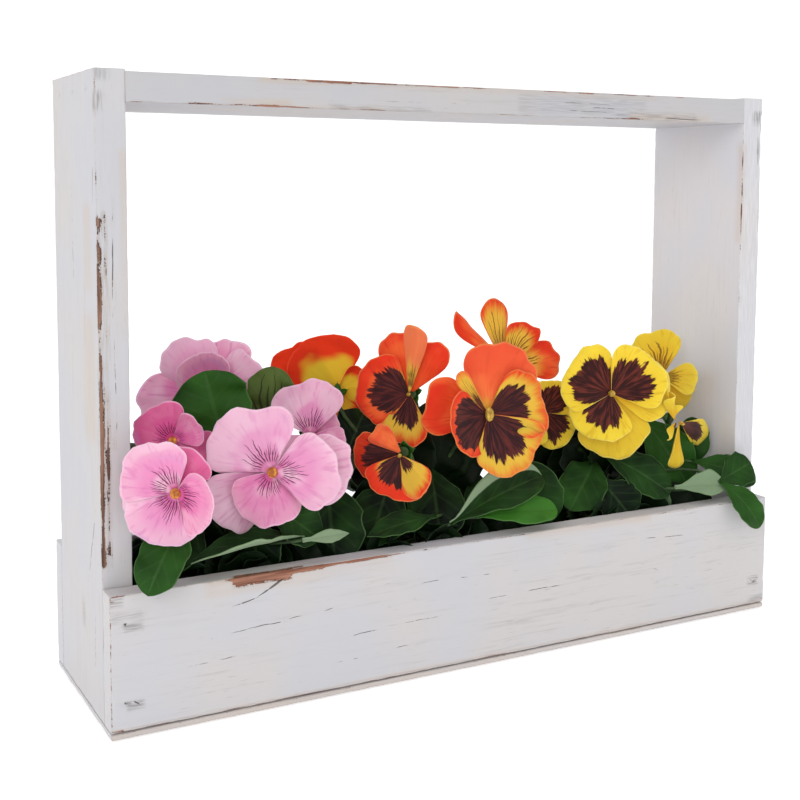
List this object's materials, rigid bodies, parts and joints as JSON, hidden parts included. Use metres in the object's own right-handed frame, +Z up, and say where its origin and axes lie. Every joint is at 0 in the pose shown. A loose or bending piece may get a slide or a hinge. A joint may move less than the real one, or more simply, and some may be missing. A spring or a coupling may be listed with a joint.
{
  "type": "wooden flower box",
  "caption": "Whitewashed low wooden flower box with a tall window-like frame over it, filled with pink, orange and yellow pansies.",
  "frame": {"origin": "middle of the base board's underside", "axes": "+X along the box to the right as seen from the front, -Y out of the front, +Z up"},
  "size_m": [0.432, 0.1471, 0.331],
  "materials": {
    "paint": "whitewashed, worn to bare brown wood along some edges",
    "wire": "dull",
    "soil": "rough and dark, like packed peat or moss",
    "green": "cloth leaves and stems",
    "pink_petals": "soft cloth, printed with plum veins",
    "orange_petals": "soft cloth, printed with maroon blotches",
    "yellow_petals": "soft cloth, printed with maroon blotches",
    "bead": "satin"
  },
  "bodies": {
    "root": {"back_board": "paint", "base_board": "paint", "brad_back_left_1": "wire", "brad_back_left_2": "wire", "brad_back_right_1": "wire", "brad_back_right_2": "wire", "brad_base_left": "wire", "brad_base_right": "wire", "brad_front_left_1": "wire", "brad_front_left_2": "wire", "brad_front_right_1": "wire", "brad_front_right_2": "wire", "brad_rail_left_1": "wire", "brad_rail_left_2": "wire", "brad_rail_left_3": "wire", "brad_rail_right_1": "wire", "brad_rail_right_2": "wire", "brad_rail_right_3": "wire", "front_board": "paint", "orange_1_eye": "bead", "orange_1_petals": "orange_petals", "orange_2_eye": "bead", "orange_2_petals": "orange_petals", "orange_3_eye": "bead", "orange_3_petals": "orange_petals", "orange_4_eye": "bead", "orange_4_petals": "orange_petals", "orange_5_eye": "bead", "orange_5_petals": "orange_petals", "orange_6_eye": "bead", "orange_6_petals": "orange_petals", "orange_plant_green": "green", "pink_1_eye": "bead", "pink_1_petals": "pink_petals", "pink_2_eye": "bead", "pink_2_petals": "pink_petals", "pink_3_eye": "bead", "pink_3_petals": "pink_petals", "pink_4_eye": "bead", "pink_4_petals": "pink_petals", "pink_5_eye": "bead", "pink_5_petals": "pink_petals", "pink_plant_green": "green", "side_left": "paint", "side_right": "paint", "soil": "soil", "top_rail": "paint", "yellow_1_eye": "bead", "yellow_1_petals": "yellow_petals", "yellow_2_eye": "bead", "yellow_2_petals": "yellow_petals", "yellow_3_eye": "bead", "yellow_3_petals": "yellow_petals", "yellow_4_eye": "bead", "yellow_4_petals": "yellow_petals", "yellow_plant_green": "green"}
  },
  "joints": []
}
